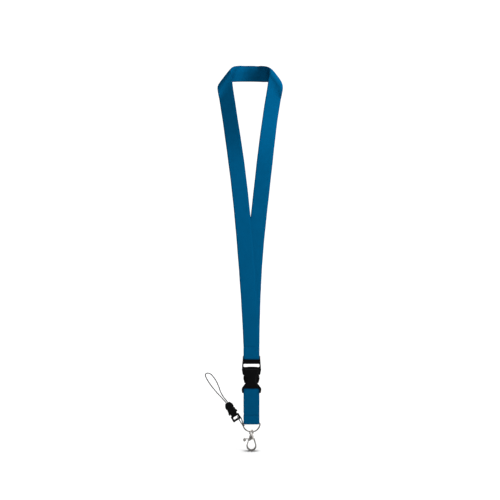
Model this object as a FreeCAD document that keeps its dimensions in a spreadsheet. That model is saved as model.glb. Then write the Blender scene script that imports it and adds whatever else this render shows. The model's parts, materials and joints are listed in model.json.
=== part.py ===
import FreeCAD, Part
import Sketcher
import os
from math import acos, atan2, cos, pi, sin, sqrt, tan

# A neck lanyard hung by the band at the back of the neck. Millimetres.
# +X is the wearer's left, -Y is forward, +Z is up, and the origin is the middle of the band's inner face.

Vector = FreeCAD.Vector

SIZES = (
    # webbing
    ("strap_width", 20.0),
    ("strap_thick", 0.9),
    ("layer_step", 1.0),
    ("wrap_gap", 0.06),
    # where things hang
    ("hang_y", -15.0),
    ("neck_stitch_z", -353.0),
    ("frame_bar_z", -367.4),
    ("housing_bar_z", -409.2),
    ("low_stitch_z", -442.0),
    ("ring_bar_z", -452.0),
    # the band behind the neck and the soft folds at its ends
    ("fold_radius", 6.0),
    ("fold_height", -14.5),
    ("fold_lead", 12.0),
    ("band_bow", 4.0),
    ("band_arch", 250.0),
    ("band_half", 22.0),
    # each leg's way out from the stitching: a straight part and a part that grows with the square
    ("left_lean", 0.0421),
    ("left_flare", 0.000177),
    ("right_lean", 0.008),
    ("right_flare", 0.000248),
    ("legs_part", 175.0),
    # stitching
    ("stitch_length", 1.7),
    ("stitch_pitch", 2.25),
    ("thread_radius", 0.22),
    # side-release buckle
    ("frame_bar_radius", 1.6),
    ("housing_bar_radius", 2.0),
    ("frame_thick", 5.0),
    ("housing_thick", 7.6),
    ("cavity_thick", 4.6),
    ("prong_thick", 4.2),
    ("prong_x", 7.6),
    ("prong_z", -382.3),
    # ring and hook
    ("wire_radius", 0.9),
    ("ring_radius", 11.3),
    ("ring_corner", 1.5),
    ("eye_z", -464.0),
    ("eye_radius", 2.9),
    ("eye_wire", 1.0),
    ("eye_turn", 42.0),
    ("hook_top_z", -468.2),
    ("stem_radius", 1.1),
    ("stem_gap", 0.06),
    ("hoop_thick", 2.4),
    ("cheek_thick", 4.2),
    ("gate_thick", 2.0),
    ("gate_play", 0.1),
    ("gate_x", -2.5),
    ("gate_z", -473.1),
    ("pin_radius", 0.5),
    ("pin_gap", 0.05),
    ("pin_head", 0.3),
    ("spring_coil", 0.9),
    ("spring_wire", 0.12),
    ("spring_pitch", 0.27),
    ("spring_turns", 2.25),
    # phone strap
    ("mini_x", -18.0),
    ("mini_z", -448.35),
    ("mini_tilt", 31.0),
    ("mini_frame_thick", 3.2),
    ("mini_housing_thick", 4.4),
    ("mini_cavity_thick", 2.5),
    ("mini_prong_thick", 2.2),
    ("mini_prong_x", 3.1),
    ("mini_prong_z", 10.9),
    ("cord_radius", 0.62),
    ("knot_radius", 1.3),
)

os.makedirs("parts", exist_ok=True)
doc = FreeCAD.newDocument("Lanyard")
sheet = doc.addObject("Spreadsheet::Sheet", "Sizes")
for row, (alias, value) in enumerate(SIZES, start=1):
    sheet.set(f"A{row}", alias)
    sheet.set(f"B{row}", str(value))
    sheet.setAlias(f"B{row}", alias)
doc.recompute()

nodes = []


def size(alias):
    """A driving dimension, read from the sheet."""
    return float(sheet.get(alias))


def add_node(obj, label):
    """Name a finished piece, and keep it for the export."""
    obj.Label = label
    nodes.append(obj)
    return obj


def place(obj, x=0.0, y="Sizes.hang_y", z=0.0):
    """Stand a piece at a point whose coordinates are numbers or expressions on the sheet."""
    for axis, value in zip("xyz", (x, y, z)):
        obj.setExpression(f"Placement.Base.{axis}", str(value))


# ---------------------------------------------------------------- moulded and cast pieces


def new_body(label):
    """An empty body, named after the node that it becomes."""
    return doc.addObject("PartDesign::Body", label.title().replace("_", ""))


def origin_plane(body, role):
    """One of a body's own origin planes."""
    return next(f for f in body.Origin.OriginFeatures if f.Role == role)


def sketch_on(body, role="XZ_Plane"):
    """An empty sketch on one of a body's origin planes. On XZ_Plane its x and y are the body's X and Z."""
    sketch = body.newObject("Sketcher::SketchObject", "Outline")
    sketch.AttachmentSupport = [(origin_plane(body, role), "")]
    sketch.MapMode = "FlatFace"
    return sketch


def draw(sketch, start, *steps):
    """A closed outline: each step is the next corner, or a middle point and the next corner for an arc."""
    here = Vector(*start, 0)
    for step in steps + (start,):
        if len(step) == 4:
            middle, there = Vector(step[0], step[1], 0), Vector(step[2], step[3], 0)
            sketch.addGeometry(Part.Arc(here, middle, there))
        else:
            there = Vector(step[0], step[1], 0)
            if there.distanceToPoint(here) > 1e-6:
                sketch.addGeometry(Part.LineSegment(here, there))
        here = there
    return sketch


def mirrored(half):
    """A whole outline from its right half, given from top to bottom along the outside."""
    left = []
    for number in range(len(half) - 1, 0, -1):
        step, before = half[number], half[number - 1]
        end = (-before[-2], before[-1])
        left.append((-step[0], step[1]) + end if len(step) == 4 else end)
    first = half[-1]
    return list(half[1:]) + [(-first[-2], first[-1])] + left


def circle(sketch, x, y, radius_rule):
    """A circle whose radius is bound to the sheet."""
    number = sketch.addGeometry(Part.Circle(Vector(x, y, 0), Vector(0, 0, 1), 1.0))
    constraint = sketch.addConstraint(Sketcher.Constraint("Radius", number, 1.0))
    sketch.setExpression(f"Constraints[{constraint}]", radius_rule)
    return sketch


def pad(body, sketch, thickness_rule):
    """A pad of the outline, half to each side of its plane."""
    feature = body.newObject("PartDesign::Pad", "Pad")
    feature.Profile = sketch
    feature.SideType = "Symmetric"
    feature.setExpression("Length", thickness_rule)
    return feature


def pocket(body, sketch, thickness_rule):
    """A pocket of the outline, half to each side of its plane."""
    doc.recompute()
    before = body.Shape.Volume
    feature = body.newObject("PartDesign::Pocket", "Pocket")
    feature.Profile = sketch
    feature.SideType = "Symmetric"
    feature.setExpression("Length", thickness_rule)
    doc.recompute()
    if body.Shape.Volume > before - 1e-3:
        raise ValueError(f"a pocket in {body.Name} cuts nothing")
    return feature


def turned(body, sketch, kind="PartDesign::Revolution"):
    """The outline turned about the body's Z axis."""
    feature = body.newObject(kind, "Turned")
    feature.Profile = sketch
    feature.ReferenceAxis = (next(f for f in body.Origin.OriginFeatures if f.Role == "Z_Axis"), [""])
    feature.Angle = 360.0
    return feature


def bar_across(body, length, radius_rule):
    """The round bar along X, through the body's origin, that a strap is looped on."""
    sketch = circle(sketch_on(body, "YZ_Plane"), 0.0, 0.0, radius_rule)
    return pad(body, sketch, str(length))


def soften(body, radius, wanted):
    """A fillet on the straight edges whose middle point the rule wants."""
    doc.recompute()
    base = body.Tip
    names = []
    for number, edge in enumerate(base.Shape.Edges, start=1):
        if wanted(edge):
            names.append(f"Edge{number}")
    feature = body.newObject("PartDesign::Fillet", "Soft")
    feature.Base = (base, names)
    feature.Radius = radius
    doc.recompute()
    return feature


def on_face_y(edge, y):
    """Whether an edge lies in the plane at y or -y."""
    box = edge.BoundBox
    return box.YLength < 1e-6 and abs(abs(box.YMax) - y) < 1e-6


def make_buckle_frame():
    """The male half: arms, the strap's bar, a flat middle bar, an empty slot, a flange and a guide tongue."""
    body = new_body("buckle_frame")
    half = (
        (12.2, -13.8),
        (12.2, -11.8),
        (11.3, 0.8),
        (10.9, 2.3, 10.4, 2.4),
        (10.35, -10.4),
        (9.9, -11.9, 8.6, -12.2),
    )
    outline = mirrored(half)
    # the slot's lower edge rises a little towards its middle
    slot_edge = outline.index((-8.6, -12.2))
    outline[slot_edge] = (0.0, -11.7, -8.6, -12.2)
    pad(body, draw(sketch_on(body), half[0], *outline), "Sizes.frame_thick")
    bar_across(body, 21.2, "Sizes.frame_bar_radius")
    middle_bar = ((10.5, -2.85), (10.5, -9.2), (10.1, -8.35, 9.2, -8.0))
    pad(body, draw(sketch_on(body), middle_bar[0], *mirrored(middle_bar)), "Sizes.frame_thick * 0.7")
    tongue = ((3.0, -13.4), (3.0, -24.8), (2.0, -30.4))
    pad(body, draw(sketch_on(body), tongue[0], *mirrored(tongue)), "Sizes.frame_thick * 0.56")
    thick = size("frame_thick") / 2
    soften(body, 0.5, lambda e: on_face_y(e, thick) and abs(e.BoundBox.Center.x) > 10.7)
    place(body, z="Sizes.frame_bar_z")
    return add_node(body, "buckle_frame")


def make_prong(name, side):
    """A springy prong: a thin arm from its root and a head whose shoulder catches the collar."""
    body = new_body(name)
    outline = (
        (side * 1.0, -7.4),
        (side * 2.35, -8.0),
        (side * 2.95, -11.4, side * 1.9, -15.4),
        (side * 1.2, -17.6, side * 0.1, -18.0),
        (side * -1.2, -17.2),
        (side * -1.7, -12.0),
        (side * -1.0, -7.4),
        (side * -1.0, 0.0),
        (0.0, 1.0, side * 1.0, 0.0),
    )
    pad(body, draw(sketch_on(body), (side * 1.0, 0.0), *outline), "Sizes.prong_thick")
    place(body, x=f"{side} * Sizes.prong_x", z="Sizes.prong_z")
    return add_node(body, name)


def make_buckle_housing():
    """The female half: a collar, two cheeks with a window on each side, and two ears that carry the bar."""
    body = new_body("buckle_housing")
    half = (
        (12.3, 27.8),
        (12.6, 26.9),
        (11.5, 21.0),
        (11.0, 19.9, 9.6, 19.6),
        (6.4, 13.6, 8.0, 8.3),
        (9.4, 6.6),
        (11.6, 3.6),
        (12.75, 0.4, 12.3, -1.8),
        (11.8, -3.4, 10.35, -3.8),
        (10.35, 2.3),
    )
    pad(body, draw(sketch_on(body), half[0], *mirrored(half)), "Sizes.housing_thick")
    # the hollow: a mouth through the collar, open at both sides below it
    hollow = (
        (9.3, 30.0),
        (9.3, 19.3),
        (14.0, 19.3),
        (14.0, 10.2),
        (8.6, 8.6, 6.6, 8.0),
    )
    pocket(body, draw(sketch_on(body), hollow[0], *mirrored(hollow)), "Sizes.cavity_thick")
    # the space between the cheeks for the strap's loop
    seat = ((9.0, 4.6), (10.35, 3.2), (10.35, -5.0))
    seat_thick = "Sizes.cavity_thick + 2 * Sizes.strap_thick"
    pocket(body, draw(sketch_on(body), seat[0], *mirrored(seat)), seat_thick)
    bar_across(body, 21.2, "Sizes.housing_bar_radius")
    place(body, z="Sizes.housing_bar_z")
    return add_node(body, "buckle_housing")


def make_d_ring():
    """A round wire bent to a D: a straight bar, two small corners and one large arc."""
    body = new_body("d_ring")
    radius, corner = size("ring_radius"), size("ring_corner")
    corner_x = sqrt(radius * radius - 2 * radius * corner)
    reach = radius / (radius - corner)
    end_x, end_z = corner_x * reach, -corner * reach
    middle = (pi / 2 + atan2(-corner, corner_x)) / 2
    mid_x, mid_z = corner_x + corner * cos(middle), -corner + corner * sin(middle)
    path = sketch_on(body)
    steps = (
        (corner_x, 0.0),
        (mid_x, mid_z, end_x, end_z),
        (0.0, -radius, -end_x, end_z),
        (-mid_x, mid_z, -corner_x, 0.0),
    )
    draw(path, (0.0, 0.0), *steps)
    section = circle(sketch_on(body, "YZ_Plane"), 0.0, 0.0, "Sizes.wire_radius")
    pipe = body.newObject("PartDesign::AdditivePipe", "Wire")
    pipe.Profile = section
    pipe.Spine = path
    place(body, z="Sizes.ring_bar_z")
    return add_node(body, "d_ring")


def primitive(kind, name, **rules):
    """A Part primitive whose sizes are bound to the sheet."""
    obj = doc.addObject(kind, name)
    for prop, rule in rules.items():
        obj.setExpression(prop, rule)
    return obj


def make_swivel_eye():
    """A ring for the wire, a shoulder that rests on the hook, a stem and its spread head, in one piece."""
    ring = primitive("Part::Torus", "EyeRing", Radius1="Sizes.eye_radius", Radius2="Sizes.eye_wire")
    upright = FreeCAD.Rotation(Vector(0, 1, 0), 90)
    turn = FreeCAD.Rotation(Vector(0, 0, 1), -size("eye_turn"))
    ring.Placement = FreeCAD.Placement(Vector(), turn * upright)
    top = "(Sizes.hook_top_z - Sizes.eye_z)"
    pieces = [ring]
    for name, radius, low, high in (
        ("EyeShoulder", "1.8", 0.1, 0.8),
        ("EyeStem", "Sizes.stem_radius", -2.5, 0.8),
        ("EyeHead", "1.7", -2.9, -1.9),
    ):
        disc = primitive("Part::Cylinder", name, Radius=radius, Height=str(high - low))
        disc.setExpression("Placement.Base.z", f"{top} + {low}")
        pieces.append(disc)
    eye = doc.addObject("Part::MultiFuse", "SwivelEye")
    eye.Shapes = pieces
    place(eye, z="Sizes.eye_z")
    return add_node(eye, "swivel_eye")


def make_hook_body():
    """The hook: a bell that holds the swivel's stem, a hoop with a nose, and cheeks for the gate."""
    body = new_body("hook_body")
    # the bell, closed above and open below
    bell = draw(sketch_on(body), (0.0, 0.0), (2.3, 0.0), (2.8, -0.2, 2.85, -0.8), (3.1, -5.0), (0.0, -5.0))
    turned(body, bell)
    # the hoop: outside from the bell's right side round to the nose, then back along the inside
    hoop = (
        (6.25, -11.61),
        (0.0, -19.9, -6.37, -12.15),
        (-6.1, -11.9, -5.6, -12.0),
        (-4.79, -12.5),
        (0.0, -17.5, 4.61, -11.38),
        (3.15, -6.3),
        (2.4, -5.0, 1.0, -4.6),
        (1.0, -3.2),
    )
    pad(body, draw(sketch_on(body), (3.85, -3.2), *hoop), "Sizes.hoop_thick")
    gate_x, gate_z = size("gate_x"), size("gate_z") - size("hook_top_z")
    cheek = draw(
        sketch_on(body),
        (gate_x - 1.7, gate_z),
        (gate_x, gate_z - 1.7, gate_x + 1.7, gate_z),
        (-0.4, -2.0),
        (-2.6, -2.0),
    )
    pad(body, cheek, "Sizes.cheek_thick")
    bore_radius = size("stem_radius") + size("stem_gap")
    bore = (
        (0.0, 1.0),
        (bore_radius, 1.0),
        (bore_radius, -1.8),
        (1.9, -1.8),
        (1.9, -3.1),
        (0.0, -3.1),
    )
    turned(body, draw(sketch_on(body), bore[0], *bore[1:]), "PartDesign::Groove")
    # the slot that the gate's hub and tab turn in
    slot = ((-8.0, -3.0), (-0.75, -3.0), (-0.75, -7.2), (-8.0, -7.2))
    pocket(body, draw(sketch_on(body), slot[0], *slot[1:]), "Sizes.gate_thick + 2 * Sizes.gate_play")
    pocket(body, circle(sketch_on(body), gate_x, gate_z, "Sizes.pin_radius"), "20")
    thick = size("hoop_thick") / 2
    soften(body, 0.2, lambda e: on_face_y(e, thick) and e.BoundBox.Center.z < -5.2)
    place(body, z="Sizes.hook_top_z")
    return add_node(body, "hook_body")


def make_hook_gate():
    """The gate: a hub on the pin, an arm that meets the nose and a thumb tab that curls down."""
    body = new_body("hook_gate")
    arm = (
        (-3.62, -6.38),
        (-3.72, -6.55),
        (-2.42, -6.95),
        (-2.2, -6.45),
        (-0.72, -1.35),
        (0.9, -1.0),
        (0.9, 1.0),
        (-1.0, 1.25),
        (-5.4, 1.55),
        (-7.4, 1.2, -7.85, -0.6),
        (-7.7, -1.9, -6.7, -2.1),
        (-6.5, -0.9, -5.6, 0.2),
        (-1.5, 0.1),
    )
    pad(body, draw(sketch_on(body), (-1.75, -0.3), *arm), "Sizes.gate_thick")
    pad(body, circle(sketch_on(body), 0.0, 0.0, "Sizes.pin_radius + 1.0"), "Sizes.gate_thick")
    pocket(body, circle(sketch_on(body), 0.0, 0.0, "Sizes.pin_radius + Sizes.pin_gap"), "20")
    # the seat of the spring is a round recess in the hub's back
    seat = circle(sketch_on(body), 0.0, 0.0, "Sizes.pin_radius + 0.75")
    seat.AttachmentOffset = FreeCAD.Placement(Vector(0, 0, -0.6), FreeCAD.Rotation())
    pocket(body, seat, "0.9")
    place(body, x="Sizes.gate_x", z="Sizes.gate_z")
    return add_node(body, "hook_gate")


def make_gate_pin():
    """The pin that the gate turns on, with spread ends outside the cheeks."""
    half, head = size("cheek_thick") / 2, size("pin_head")
    pieces = []
    for name, radius, low, high in (
        ("PinShank", "Sizes.pin_radius", -half - head, half + head),
        ("PinHeadBack", "Sizes.pin_radius + Sizes.pin_head", half, half + head),
        ("PinHeadFront", "Sizes.pin_radius + Sizes.pin_head", -half - head, -half),
    ):
        disc = primitive("Part::Cylinder", name, Radius=radius, Height=str(high - low))
        disc.Placement = FreeCAD.Placement(Vector(0, high, 0), FreeCAD.Rotation(Vector(1, 0, 0), 90))
        pieces.append(disc)
    pin = doc.addObject("Part::MultiFuse", "GatePin")
    pin.Shapes = pieces
    place(pin, x="Sizes.gate_x", z="Sizes.gate_z")
    return add_node(pin, "gate_pin")


def make_gate_spring(steps_per_turn=12):
    """A small torsion spring round the pin, in the recess of the gate's hub: a helix made of short arcs."""
    coil, pitch, turns = size("spring_coil"), size("spring_pitch"), size("spring_turns")

    def on_helix(turn):
        """The point of the wire's middle after so many turns, the helix's axis along Y."""
        angle = 2 * pi * turn
        return Vector(coil * cos(angle), pitch * turn, coil * sin(angle))

    arcs = []
    for number in range(int(turns * steps_per_turn)):
        start, middle, end = (on_helix((number + share) / steps_per_turn) for share in (0, 0.5, 1))
        arcs.append(Part.Arc(start, middle, end).toShape())
    path = Part.Wire(arcs)
    ahead = arcs[0].tangentAt(arcs[0].FirstParameter)
    section = Part.Wire([Part.Circle(on_helix(0), ahead, size("spring_wire")).toShape()])
    spring = doc.addObject("Part::Feature", "GateSpring")
    spring.Shape = path.makePipeShell([section], True, False)
    place(spring, x="Sizes.gate_x", y="Sizes.hang_y + Sizes.spring_pitch", z="Sizes.gate_z")
    return add_node(spring, "gate_spring")


# ---------------------------------------------------------------- the phone strap's small buckle


def place_mini(obj, x="0", z="0"):
    """Stand a piece on the phone strap, whose own X runs across it and whose own Z runs along it."""
    obj.Placement = FreeCAD.Placement(Vector(), FreeCAD.Rotation(Vector(0, 1, 0), -size("mini_tilt")))
    place(
        obj,
        x=f"Sizes.mini_x + ({x}) * cos(Sizes.mini_tilt) - ({z}) * sin(Sizes.mini_tilt)",
        z=f"Sizes.mini_z + ({x}) * sin(Sizes.mini_tilt) + ({z}) * cos(Sizes.mini_tilt)",
    )


def make_mini_frame():
    """The small male half: a frame with a rounded slot, a neck and a guide tongue."""
    body = new_body("mini_frame")
    half = (
        (4.2, 10.2),
        (4.2, 8.0),
        (5.6, 7.8),
        (5.8, 7.2),
        (5.8, 0.6),
        (5.6, 0.1, 5.1, 0.0),
    )
    pad(body, draw(sketch_on(body), half[0], *mirrored(half)), "Sizes.mini_frame_thick")
    slot = ((2.6, 5.8), (3.25, 5.5, 3.45, 4.9), (3.45, 3.6), (3.2, 2.9, 2.5, 2.7))
    pocket(body, draw(sketch_on(body), slot[0], *mirrored(slot)), "20")
    tongue = ((0.5, 16.4), (0.9, 15.6), (0.9, 10.0))
    pad(body, draw(sketch_on(body), tongue[0], *mirrored(tongue)), "Sizes.mini_prong_thick * 0.8")
    thick = size("mini_frame_thick") / 2
    soften(body, 0.35, lambda e: on_face_y(e, thick))
    place_mini(body)
    return add_node(body, "mini_frame")


def make_mini_prong(name, side):
    """A small prong of the phone strap's buckle."""
    body = new_body(name)
    outline = (
        (side * -0.6, 0.0),
        (side * -0.6, 3.2),
        (side * -0.9, 5.0),
        (side * -0.4, 7.0),
        (side * 0.4, 7.2),
        (side * 1.0, 6.9, side * 1.35, 6.2),
        (side * 1.95, 4.8, side * 1.4, 3.2),
        (side * 0.6, 3.1),
        (side * 0.6, 0.0),
        (0.0, -0.6, side * -0.6, 0.0),
    )
    pad(body, draw(sketch_on(body), outline[0], *outline[1:]), "Sizes.mini_prong_thick")
    place_mini(body, x=f"{side} * Sizes.mini_prong_x", z="Sizes.mini_prong_z")
    return add_node(body, name)


def make_mini_housing():
    """The small female half: a collar, side windows, and a rounded end that the cord comes out of."""
    body = new_body("mini_housing")
    half = (
        (2.4, 26.2),
        (3.3, 25.9, 3.6, 25.1),
        (5.2, 22.2, 5.45, 19.8),
        (5.3, 18.7, 4.7, 17.6),
        (4.0, 16.0, 4.6, 14.2),
        (5.8, 13.4),
        (6.3, 12.0),
        (6.3, 11.0),
        (5.9, 10.4),
    )
    pad(body, draw(sketch_on(body), half[0], *mirrored(half)), "Sizes.mini_housing_thick")
    hollow = ((7.0, 18.3), (7.0, 13.9), (3.95, 13.9), (3.95, 9.0))
    pocket(body, draw(sketch_on(body), hollow[0], *mirrored(hollow)), "Sizes.mini_cavity_thick")
    # the chamber of the knot and the way out of the cord
    knot = ((1.45, 22.2), (1.45, 18.0))
    pocket(body, draw(sketch_on(body), knot[0], *mirrored(knot)), "2.9")
    way = ((1.4, 27.0), (1.4, 22.0))
    pocket(body, draw(sketch_on(body), way[0], *mirrored(way)), "1.6")
    place_mini(body)
    return add_node(body, "mini_housing")


# ---------------------------------------------------------------- cords


def cord_path(points):
    """Straight runs joined by tangent arcs, each as large as its two runs allow, and the least radius."""
    edges, here, least = [], points[0], 1e9
    for before, corner, after in zip(points, points[1:], points[2:]):
        back, ahead = before - corner, after - corner
        shorter = min(back.Length, ahead.Length)
        back.normalize()
        ahead.normalize()
        half_turn = (pi - acos(max(-1.0, min(1.0, back.dot(ahead))))) / 2
        radius = 0.45 * shorter / tan(half_turn)
        reach = 0.45 * shorter
        start, end = corner + back * reach, corner + ahead * reach
        inward = back + ahead
        inward.normalize()
        middle = corner + inward * (radius / cos(half_turn) - radius)
        if start.distanceToPoint(here) > 1e-6:
            edges.append(Part.LineSegment(here, start).toShape())
        edges.append(Part.Arc(start, middle, end).toShape())
        here, least = end, min(least, radius)
    edges.append(Part.LineSegment(here, points[-1]).toShape())
    return Part.Wire(edges), least


def make_tube(name, points):
    """A cord's tube along its route."""
    path, least = cord_path(points)
    radius = size("cord_radius")
    ahead = points[1] - points[0]
    section = Part.Wire([Part.Circle(points[0], ahead, radius).toShape()])
    tube = path.makePipeShell([section], True, False)
    expected = pi * radius * radius * path.Length
    share = tube.Volume / expected
    print(f"{name}: length {path.Length:.2f}, least radius {least:.2f}, volume / expected {share:.4f}")
    if abs(share - 1) > 0.02:
        raise ValueError(f"the tube of {name} has the wrong volume")
    feature = doc.addObject("Part::Feature", name.title().replace("_", ""))
    feature.Shape = tube
    return add_node(feature, name)


def hung(x, y, z):
    """A point of a cord's route, its y counted from the plane that everything hangs in."""
    return Vector(x, size("hang_y") + y, z)


TETHER_ROUTE = (
    (-14.14, -2.0, -450.32),
    (-11.9, -1.65, -454.2),
    (-9.45, -1.6, -454.9),
    (-9.45, 1.6, -454.9),
    (-11.5, 1.65, -454.1),
    (-11.7, 1.9, -450.6),
    (-13.1, 2.3, -446.1),
    (-14.9, 2.4, -443.4),
    (-17.8, 2.3, -443.3),
    (-18.0, -2.3, -443.5),
    (-16.4, -2.35, -446.4),
    (-14.17, -2.0, -450.26),
)

PHONE_CORD_ROUTE = (
    (-30.3, 0.0, -429.3),
    (-32.7, -0.1, -425.4),
    (-37.3, -0.3, -419.7),
    (-43.0, -0.5, -413.5),
    (-48.7, -0.4, -407.0),
    (-54.1, -0.2, -400.4),
    (-58.7, 0.1, -393.6),
    (-60.7, 0.3, -388.8),
    (-58.3, 0.5, -386.2),
    (-54.6, 0.6, -386.9),
    (-51.0, 0.6, -391.2),
    (-47.1, 0.5, -398.3),
    (-43.8, 0.4, -405.3),
    (-41.1, 0.3, -412.2),
    (-36.8, 0.2, -418.8),
    (-31.3, 0.1, -424.6),
    (-29.0, 0.0, -428.6),
)


def make_phone_knot():
    """The stopper knot inside the small housing, as a plain ball."""
    ball = primitive("Part::Sphere", "PhoneCordKnot", Radius="Sizes.knot_radius")
    place_mini(ball, z="20.7")
    return add_node(ball, "phone_cord_knot")


# ---------------------------------------------------------------- straps


def ribbon(sections):
    """A strap through its cross-sections: each has a middle, a way across, a way outward and a width."""
    half_thick = size("strap_thick") / 2
    wires = []
    for middle, across, outward, width in sections:
        side, up = across * (width / 2), outward * half_thick
        corners = (middle - side - up, middle + side - up, middle + side + up, middle - side + up)
        wires.append(Part.makePolygon(corners + corners[:1]))
    return Part.makeLoft(wires, True, True)


def smooth(value):
    """0 below 0, 1 above 1, and a soft step between."""
    value = max(0.0, min(1.0, value))
    return value * value * (3 - 2 * value)


def leg_point(side, height, layer_y):
    """The middle of one leg at a height over the neck stitching, and its direction upwards."""
    name = "left" if side < 0 else "right"
    lean, flare = size(name + "_lean"), size(name + "_flare")
    top = size("fold_height") - size("neck_stitch_z")
    part = size("legs_part")
    fold_y = size("strap_thick") / 2 - size("band_bow") - 2 * size("fold_radius")
    y = layer_y + (fold_y - layer_y) * smooth((height - part) / (top - part))
    point = Vector(side * (lean * height + flare * height * height), y, size("neck_stitch_z") + height)
    upwards = Vector(side * (lean + 2 * flare * height), 0, 1)
    return point, upwards.normalize()


def leg_sections(side, layer_y, steps=18):
    """The leg from the stitching to just under the fold. The way across points at the other leg."""
    top = size("fold_height") - size("neck_stitch_z") - size("fold_lead")
    sections = []
    for number in range(steps + 1):
        point, upwards = leg_point(side, top * number / steps, layer_y)
        across = Vector(-side * upwards.z, 0, side * upwards.x)
        sections.append((point, across, Vector(0, -1, 0), size("strap_width")))
    return sections


def fold_sections(side, layer_y, steps=10):
    """The soft fold: the strap rolls half round a slanting cylinder, from its leg to the band.

    Each section lies along the cylinder. Seen from the front the cylinder halves the angle
    between the leg and the band, and the strap moves along it as it rolls.
    """
    top = size("fold_height") - size("neck_stitch_z")
    start, upwards = leg_point(side, top, layer_y)
    radius, width = size("fold_radius"), size("strap_width")
    band_slope = size("band_half") / size("band_arch")
    band = Vector(-side, 0, band_slope).normalize()
    along = (upwards + band).normalize()
    out = Vector(side * along.z, 0, -side * along.x)
    creep = upwards.dot(along) / upwards.dot(out)
    slant = width / upwards.dot(out)
    sections = []
    for number in range(steps + 1):
        angle = pi * number / steps
        middle = start + along * (creep * radius * angle) + out * (radius * sin(angle))
        middle.y += radius * (1 - cos(angle))
        outward = out * sin(angle) + Vector(0, -cos(angle), 0)
        sections.append((middle, along, outward, slant))
    return sections


def band_sections(left_end, right_end, steps=8):
    """The band behind the neck, clear of the folds' slant: a flat arch, bowed back in its middle."""
    sections = []
    for number in range(2, steps - 1):
        share = number / steps
        line = left_end + (right_end - left_end) * share
        bow = 4 * share * (1 - share)
        ends = (abs(left_end.x) + abs(right_end.x)) / 2
        rise = ends * ends / (2 * size("band_arch"))
        middle = Vector(line.x, line.y + size("band_bow") * bow, line.z + rise * bow)
        slope = 4 * rise * (1 - 2 * share) / (right_end.x - left_end.x)
        turn = 4 * size("band_bow") * (1 - 2 * share) / (right_end.x - left_end.x)
        across = Vector(-slope, 0, 1).normalize()
        outward = Vector(-turn, 1, 0).normalize()
        sections.append((middle, across, outward, size("strap_width")))
    return sections


def wrap_sections(bar_z, bar_radius, start, end, steps=8):
    """The strap round a bar, from one angle to another. Angles are counted from the front, downwards."""
    radius = bar_radius + size("wrap_gap") + size("strap_thick") / 2
    centre = Vector(0, size("hang_y"), bar_z)
    sections = []
    for number in range(steps + 1):
        angle = start + (end - start) * number / steps
        outward = Vector(0, -cos(angle), -sin(angle))
        sections.append((centre + outward * radius, Vector(1, 0, 0), outward, size("strap_width")))
    return sections


def flat_section(y, z, outward_y):
    """A level section of a strap that hangs straight down, its y counted from the hanging plane."""
    return Vector(0, size("hang_y") + y, z), Vector(1, 0, 0), Vector(0, outward_y, 0), size("strap_width")


def make_neck_strap():
    """One strap: from its tail behind the bar, up the left leg, round the neck and down the right leg."""
    step, stitch_z = size("layer_step"), size("neck_stitch_z")
    hang_y = size("hang_y")
    sections = [flat_section(step, stitch_z + 4.0, 1), flat_section(step, stitch_z - 1.0, 1)]
    sections += wrap_sections(size("frame_bar_z"), size("frame_bar_radius"), pi, 0.0)
    sections += leg_sections(-1, hang_y - step)
    left_fold = fold_sections(-1, hang_y - step)
    right_fold = fold_sections(1, hang_y)
    sections += left_fold
    sections += band_sections(left_fold[-1][0], right_fold[-1][0])
    sections += right_fold[::-1]
    sections += leg_sections(1, hang_y)[::-1]
    right_end = Vector(0, hang_y, stitch_z - 3.0)
    sections.append((right_end, Vector(-1, 0, 0), Vector(0, -1, 0), size("strap_width")))
    feature = doc.addObject("Part::Feature", "NeckStrap")
    feature.Shape = ribbon(sections)
    return add_node(feature, "neck_strap")


def make_lower_strap():
    """One strap between the buckle's bar and the ring's bar, its two ends sewn behind its front layer."""
    step, stitch_z = size("layer_step"), size("low_stitch_z")
    sections = [flat_section(step, stitch_z + 4.0, 1), flat_section(step, stitch_z - 1.0, 1)]
    sections += wrap_sections(size("ring_bar_z"), size("wire_radius"), pi, 0.0)
    sections.append(flat_section(-step, stitch_z, -1))
    sections.append(flat_section(-step, stitch_z + 10.0, -1))
    sections += wrap_sections(size("housing_bar_z"), size("housing_bar_radius"), 0.0, -pi)
    sections.append(flat_section(0.0, stitch_z + 6.0, 1))
    sections.append(flat_section(0.0, stitch_z - 3.0, 1))
    feature = doc.addObject("Part::Feature", "LowerStrap")
    feature.Shape = ribbon(sections)
    return add_node(feature, "lower_strap")


def make_stitching(name, stitch_z, count=8):
    """A row of lock stitches: short threads along X, half sunk in the front and the back of the layers."""
    length, pitch, radius = size("stitch_length"), size("stitch_pitch"), size("thread_radius")
    reach = size("layer_step") + size("strap_thick") / 2
    threads = []
    for number in range(count):
        x = (number - (count - 1) / 2) * pitch - length / 2
        for y in (size("hang_y") - reach, size("hang_y") + reach):
            threads.append(Part.makeCylinder(radius, length, Vector(x, y, stitch_z), Vector(1, 0, 0)))
    feature = doc.addObject("Part::Feature", name.title().replace("_", ""))
    feature.Shape = Part.makeCompound(threads)
    return add_node(feature, name)


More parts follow.
